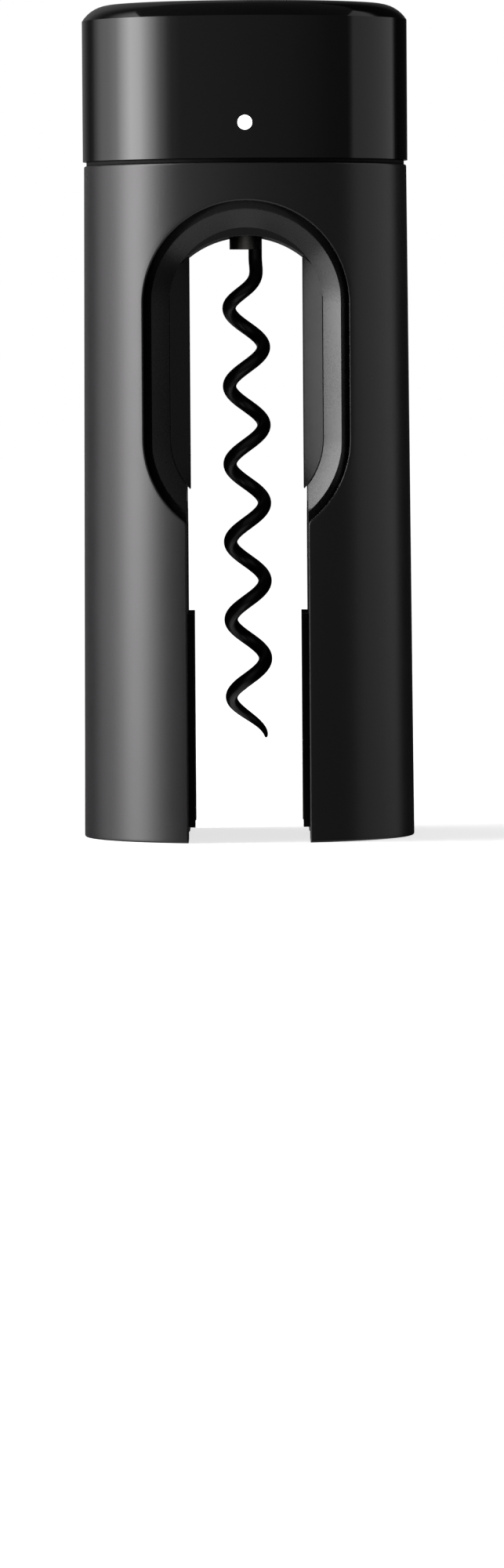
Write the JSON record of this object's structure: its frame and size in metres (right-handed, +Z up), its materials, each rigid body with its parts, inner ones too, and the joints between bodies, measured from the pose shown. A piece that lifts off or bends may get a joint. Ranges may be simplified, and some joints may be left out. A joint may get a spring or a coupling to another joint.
{
  "type": "electric wine opener",
  "caption": "Tubular electric corkscrew: keyhole window front and back, spinning coated worm, planetary drive, glossy head with push button and status light.",
  "frame": {"origin": "centre of the foot, on the surface that the opener stands on", "axes": "+Z up along the worm's axis, towards the head; the status light and front window face -Y; +X is to the right seen from the front"},
  "size_m": [0.056, 0.055, 0.1407],
  "materials": {
    "sleeve": "satin moulded ABS, near black",
    "frame": "satin moulded ABS, black",
    "grip": "moulded nylon, black, matte",
    "pad": "silicone, dark brown, matte",
    "screw": "zinc-plated",
    "worm_coating": "non-stick coated steel, satin black",
    "gear_steel": "sintered steel",
    "pin_steel": "ground steel",
    "spring_steel": "spring wire",
    "bronze": "sintered bronze",
    "die_cast": "die cast",
    "plated_sheet": "nickel-plated sheet",
    "nylon": "natural acetal",
    "brass_gear": "turned brass",
    "lamination": "stacked electrical steel",
    "copper": "enamelled copper",
    "magnet": "sintered ferrite",
    "circuit_board": "solder-masked glass epoxy",
    "led_package": "white moulded package",
    "lens": "frosted polycarbonate, lit white",
    "battery_pouch": "laminated pouch foil",
    "switch_body": "moulded nylon",
    "cap": "polished ABS, black"
  },
  "bodies": {
    "housing": {"outer_sleeve": "sleeve", "foot_plates": "frame", "inner_frame": "frame", "left_cork_grip": "grip", "right_cork_grip": "grip", "left_neck_pad": "pad", "right_neck_pad": "pad", "foot_screws": "screw", "output_bush": "bronze", "thrust_washer": "bronze", "gearbox_case": "die_cast", "gearbox_lid": "plated_sheet", "gearbox_screws": "screw", "lid_screws": "screw", "motor_can": "plated_sheet", "motor_magnets": "magnet", "motor_end_cap": "nylon", "motor_brushes": "copper", "motor_screws": "screw", "head_chassis": "frame", "chassis_screws": "screw", "control_board": "circuit_board", "board_screws": "screw", "status_led": "led_package", "led_lens": "lens", "charge_socket": "plated_sheet", "left_battery": "battery_pouch", "right_battery": "battery_pouch", "left_battery_cradle": "frame", "right_battery_cradle": "frame", "switch_board": "circuit_board", "switch_board_screws": "screw", "start_switch": "switch_body", "button_spring": "spring_steel", "top_cap": "cap"},
    "spindle": {"worm": "worm_coating", "output_spindle": "gear_steel", "spindle_clip": "spring_steel", "output_planet_pins": "pin_steel"},
    "second_stage": {"second_carrier": "gear_steel", "second_planet_pins": "pin_steel"},
    "first_stage": {"first_carrier": "gear_steel", "first_planet_pins": "pin_steel"},
    "motor_rotor": {"motor_pinion": "brass_gear", "motor_shaft": "pin_steel", "motor_rotor": "lamination", "motor_windings": "copper", "motor_commutator": "copper"},
    "button": {"start_button": "cap", "switch_plunger": "led_package"},
    "output_planet_1": {"output_planet_1": "gear_steel"},
    "output_planet_2": {"output_planet_2": "gear_steel"},
    "output_planet_3": {"output_planet_3": "gear_steel"},
    "second_planet_1": {"second_planet_1": "gear_steel"},
    "second_planet_2": {"second_planet_2": "gear_steel"},
    "second_planet_3": {"second_planet_3": "gear_steel"},
    "first_planet_1": {"first_planet_1": "nylon"},
    "first_planet_2": {"first_planet_2": "nylon"},
    "first_planet_3": {"first_planet_3": "nylon"}
  },
  "joints": [
    {"name": "worm_spin", "type": "hinge", "parent": "housing", "child": "spindle", "pos_m": [0, 0, 0.1], "axis": [0, 0, 1], "continuous": true},
    {"name": "second_stage_spin", "type": "hinge", "parent": "housing", "child": "second_stage", "pos_m": [0, 0, 0.113], "axis": [0, 0, 1], "continuous": true},
    {"name": "first_stage_spin", "type": "hinge", "parent": "housing", "child": "first_stage", "pos_m": [0, 0, 0.116], "axis": [0, 0, 1], "continuous": true},
    {"name": "motor_spin", "type": "hinge", "parent": "housing", "child": "motor_rotor", "pos_m": [0, 0, 0.12], "axis": [0, 0, 1], "continuous": true},
    {"name": "start_button_press", "type": "slide", "parent": "housing", "child": "button", "axis": [0, 0, -1], "range_m": [0, 0.0006], "stiffness_N_per_m": 600, "deforming": ["button_spring"]},
    {"name": "output_planet_1_spin", "type": "hinge", "parent": "spindle", "child": "output_planet_1", "pos_m": [0.0075, 0, 0.11], "axis": [0, 0, 1], "continuous": true},
    {"name": "output_planet_2_spin", "type": "hinge", "parent": "spindle", "child": "output_planet_2", "pos_m": [-0.00375, 0.0065, 0.11], "axis": [0, 0, 1], "continuous": true},
    {"name": "output_planet_3_spin", "type": "hinge", "parent": "spindle", "child": "output_planet_3", "pos_m": [-0.00375, -0.0065, 0.11], "axis": [0, 0, 1], "continuous": true},
    {"name": "second_planet_1_spin", "type": "hinge", "parent": "second_stage", "child": "second_planet_1", "pos_m": [0.0075, 0, 0.11], "axis": [0, 0, 1], "continuous": true},
    {"name": "second_planet_2_spin", "type": "hinge", "parent": "second_stage", "child": "second_planet_2", "pos_m": [-0.00375, 0.0065, 0.11], "axis": [0, 0, 1], "continuous": true},
    {"name": "second_planet_3_spin", "type": "hinge", "parent": "second_stage", "child": "second_planet_3", "pos_m": [-0.00375, -0.0065, 0.11], "axis": [0, 0, 1], "continuous": true},
    {"name": "first_planet_1_spin", "type": "hinge", "parent": "first_stage", "child": "first_planet_1", "pos_m": [0.0075, 0, 0.11], "axis": [0, 0, 1], "continuous": true},
    {"name": "first_planet_2_spin", "type": "hinge", "parent": "first_stage", "child": "first_planet_2", "pos_m": [-0.00375, 0.0065, 0.11], "axis": [0, 0, 1], "continuous": true},
    {"name": "first_planet_3_spin", "type": "hinge", "parent": "first_stage", "child": "first_planet_3", "pos_m": [-0.00375, -0.0065, 0.11], "axis": [0, 0, 1], "continuous": true}
  ],
  "couplings": [
    {"joint": "second_stage_spin", "follows": "worm_spin", "ratio": 5},
    {"joint": "first_stage_spin", "follows": "worm_spin", "ratio": 25},
    {"joint": "motor_spin", "follows": "worm_spin", "ratio": 125},
    {"joint": "output_planet_1_spin", "follows": "worm_spin", "ratio": -2.6667},
    {"joint": "output_planet_2_spin", "follows": "worm_spin", "ratio": -2.6667},
    {"joint": "output_planet_3_spin", "follows": "worm_spin", "ratio": -2.6667},
    {"joint": "second_planet_1_spin", "follows": "worm_spin", "ratio": -13.333},
    {"joint": "second_planet_2_spin", "follows": "worm_spin", "ratio": -13.333},
    {"joint": "second_planet_3_spin", "follows": "worm_spin", "ratio": -13.333},
    {"joint": "first_planet_1_spin", "follows": "worm_spin", "ratio": -66.667},
    {"joint": "first_planet_2_spin", "follows": "worm_spin", "ratio": -66.667},
    {"joint": "first_planet_3_spin", "follows": "worm_spin", "ratio": -66.667}
  ]
}
